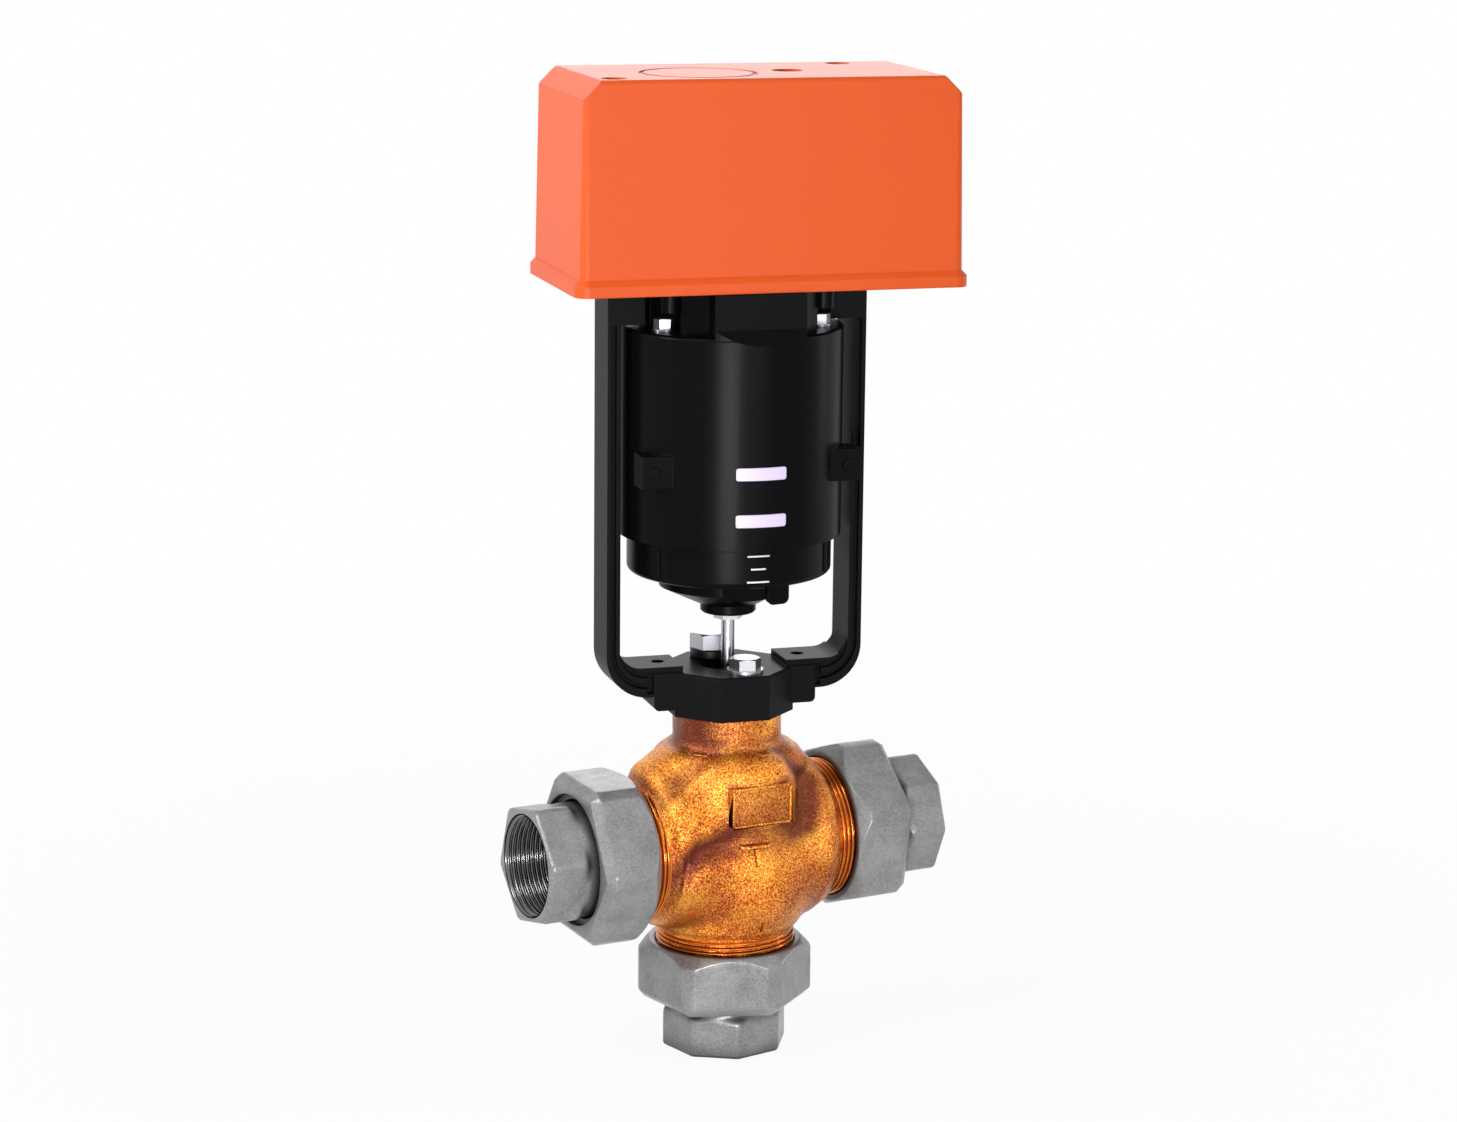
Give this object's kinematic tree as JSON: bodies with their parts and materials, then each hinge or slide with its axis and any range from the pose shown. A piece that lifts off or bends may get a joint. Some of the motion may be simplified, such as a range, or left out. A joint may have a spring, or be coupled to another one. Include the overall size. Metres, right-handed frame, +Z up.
{
  "type": "motorised three-way valve",
  "caption": "Motorised three-way globe valve: gunmetal body with screwed unions, black yoke and linear electric actuator under an orange cover.",
  "frame": {"origin": "centre of the bottom port's end face", "axes": "+Z up the stem, +X along the straight run from the left port to the right port, -Y towards the side with the cast pad"},
  "size_m": [0.2094, 0.1255, 0.461],
  "materials": {
    "gunmetal": "sand-cast gunmetal",
    "brass": "turned",
    "valve_steel": "turned and polished",
    "packing": "soft seal",
    "malleable_iron": "galvanised malleable iron",
    "black_casting": "black coated casting",
    "zinc_steel": "zinc plated",
    "black_steel": "blackened steel",
    "black_plastic": "moulded",
    "window_white": "moulded",
    "gear_brass": "machined",
    "bearing_bronze": "sintered",
    "plate_steel": "rolled",
    "motor_can": "drawn can",
    "board_green": "laminate",
    "terminal_grey": "moulded",
    "cover_orange": "moulded"
  },
  "bodies": {
    "valve": {"base_plate": "black_plastic", "bearing_plate": "plate_steel", "bottom_gasket": "packing", "bottom_tailpiece": "malleable_iron", "bottom_union_nut": "malleable_iron", "cable_gland": "black_plastic", "circuit_board": "board_green", "cover": "cover_orange", "cover_screws": "zinc_steel", "drive_housing": "black_plastic", "front_bolt": "zinc_steel", "gear_bridge": "zinc_steel", "housing_screws": "zinc_steel", "indicator_windows": "window_white", "left_gasket": "packing", "left_tailpiece": "malleable_iron", "left_union_nut": "malleable_iron", "lower_bearing": "bearing_bronze", "lower_cap": "black_plastic", "lower_seat": "brass", "lug_screws": "black_plastic", "motor": "motor_can", "packing_gland": "brass", "rear_bolt": "zinc_steel", "rear_spacer": "black_steel", "right_gasket": "packing", "right_tailpiece": "malleable_iron", "right_union_nut": "malleable_iron", "spindle_guide": "black_plastic", "stem_guide": "brass", "stem_packing": "packing", "terminal_block": "terminal_grey", "upper_bearing": "bearing_bronze", "valve_body": "gunmetal", "yoke": "black_casting", "yoke_screws": "zinc_steel"},
    "stem": {"valve_stem": "valve_steel", "valve_plug": "valve_steel", "stem_coupling": "valve_steel", "drive_spindle": "valve_steel"},
    "spindle_gear": {"spindle_gear": "gear_brass"},
    "intermediate_gear": {"intermediate_gear": "gear_brass"},
    "motor_pinion": {"motor_pinion": "valve_steel"},
    "crank_shaft": {"crank_shaft": "valve_steel"}
  },
  "joints": [
    {"name": "spindle_gear_turn", "type": "hinge", "parent": "valve", "child": "spindle_gear", "pos_m": [0, 0, 0.329], "axis": [0, 0, 1], "range_deg": [0, 1260]},
    {"name": "stem_travel", "type": "slide", "parent": "valve", "child": "stem", "axis": [0, 0, 1], "range_m": [-0.014, 0]},
    {"name": "intermediate_turn", "type": "hinge", "parent": "valve", "child": "intermediate_gear", "pos_m": [0.01859, -0.02965, 0.35], "axis": [0, 0, 1], "range_deg": [-4255, 0]},
    {"name": "motor_turn", "type": "hinge", "parent": "valve", "child": "motor_pinion", "pos_m": [0.03936, -0.02651, 0.378], "axis": [0, 0, 1], "range_deg": [0, 10634]},
    {"name": "crank_turn", "type": "hinge", "parent": "valve", "child": "crank_shaft", "pos_m": [0.02364, -0.00722, 0.378], "axis": [0, 0, 1], "range_deg": [0, 7976]}
  ],
  "couplings": [
    {"joint": "stem_travel", "follows": "spindle_gear_turn", "m_per_rad": -0.00063662},
    {"joint": "intermediate_turn", "follows": "spindle_gear_turn", "ratio": -3.375},
    {"joint": "motor_turn", "follows": "spindle_gear_turn", "ratio": 8.4375},
    {"joint": "crank_turn", "follows": "spindle_gear_turn", "ratio": 6.3281}
  ]
}
